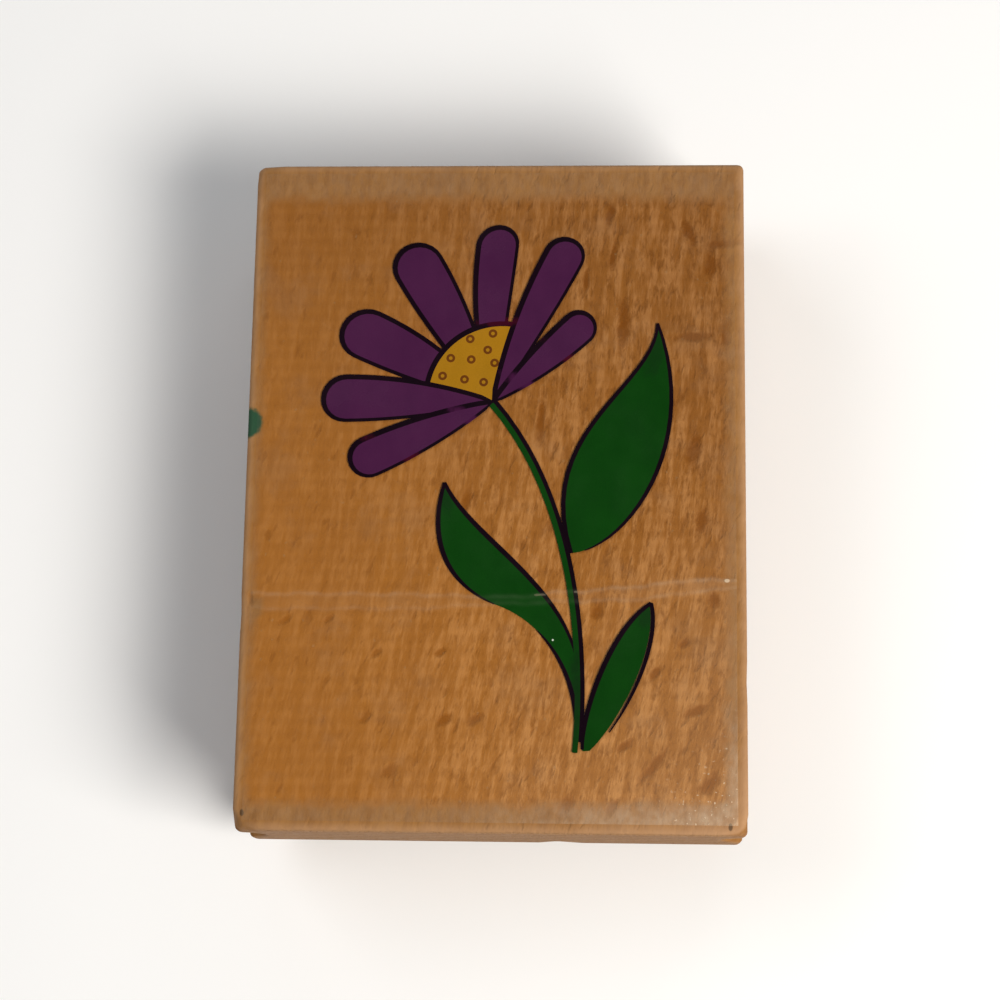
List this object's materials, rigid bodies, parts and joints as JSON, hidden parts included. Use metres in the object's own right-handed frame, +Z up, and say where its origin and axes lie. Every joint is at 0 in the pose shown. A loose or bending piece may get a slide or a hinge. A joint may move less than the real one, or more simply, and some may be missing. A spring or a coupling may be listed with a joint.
{
  "type": "rubber stamp",
  "caption": "Wood-mounted rubber stamp: grooved hardwood block with a clear printed flower label on top and a foam-cushioned rubber die with raised lines below.",
  "frame": {"origin": "centre of the printing face, at the bottom of the raised rubber lines", "axes": "+Z up through the cushion and the block to the label, +Y along the block to the top of the flower, +X to the flower's right"},
  "size_m": [0.0698, 0.0952, 0.0251],
  "materials": {
    "wood": "sanded bare hardwood",
    "label_adhesive": "clear adhesive",
    "film": "clear gloss film",
    "purple_ink": "printed ink",
    "yellow_ink": "printed ink",
    "brown_ink": "printed ink",
    "green_ink": "printed ink",
    "dark_ink": "printed ink",
    "mounting_adhesive": "tacky film",
    "foam": "fine closed-cell foam",
    "rubber": "moulded rubber"
  },
  "bodies": {
    "block": {"wood_block": "wood", "label_adhesive": "label_adhesive", "label_film": "film", "petal_print_1": "purple_ink", "petal_print_2": "purple_ink", "petal_print_3": "purple_ink", "petal_print_4": "purple_ink", "petal_print_5": "purple_ink", "petal_print_6": "purple_ink", "petal_print_7": "purple_ink", "centre_print": "yellow_ink", "ring_print": "brown_ink", "stem_print": "green_ink", "leaf_print_1": "green_ink", "leaf_print_2": "green_ink", "leaf_print_3": "green_ink", "outline_print": "dark_ink", "cushion_adhesive": "mounting_adhesive", "foam_cushion": "foam"},
    "die": {"die_adhesive": "mounting_adhesive", "rubber_die": "rubber"}
  },
  "joints": [
    {"name": "cushion_squeeze", "type": "slide", "parent": "block", "child": "die", "axis": [0, 0, 1], "range_m": [0, 0.0008], "stiffness_N_per_m": 20000, "deforming": ["foam_cushion"]}
  ]
}
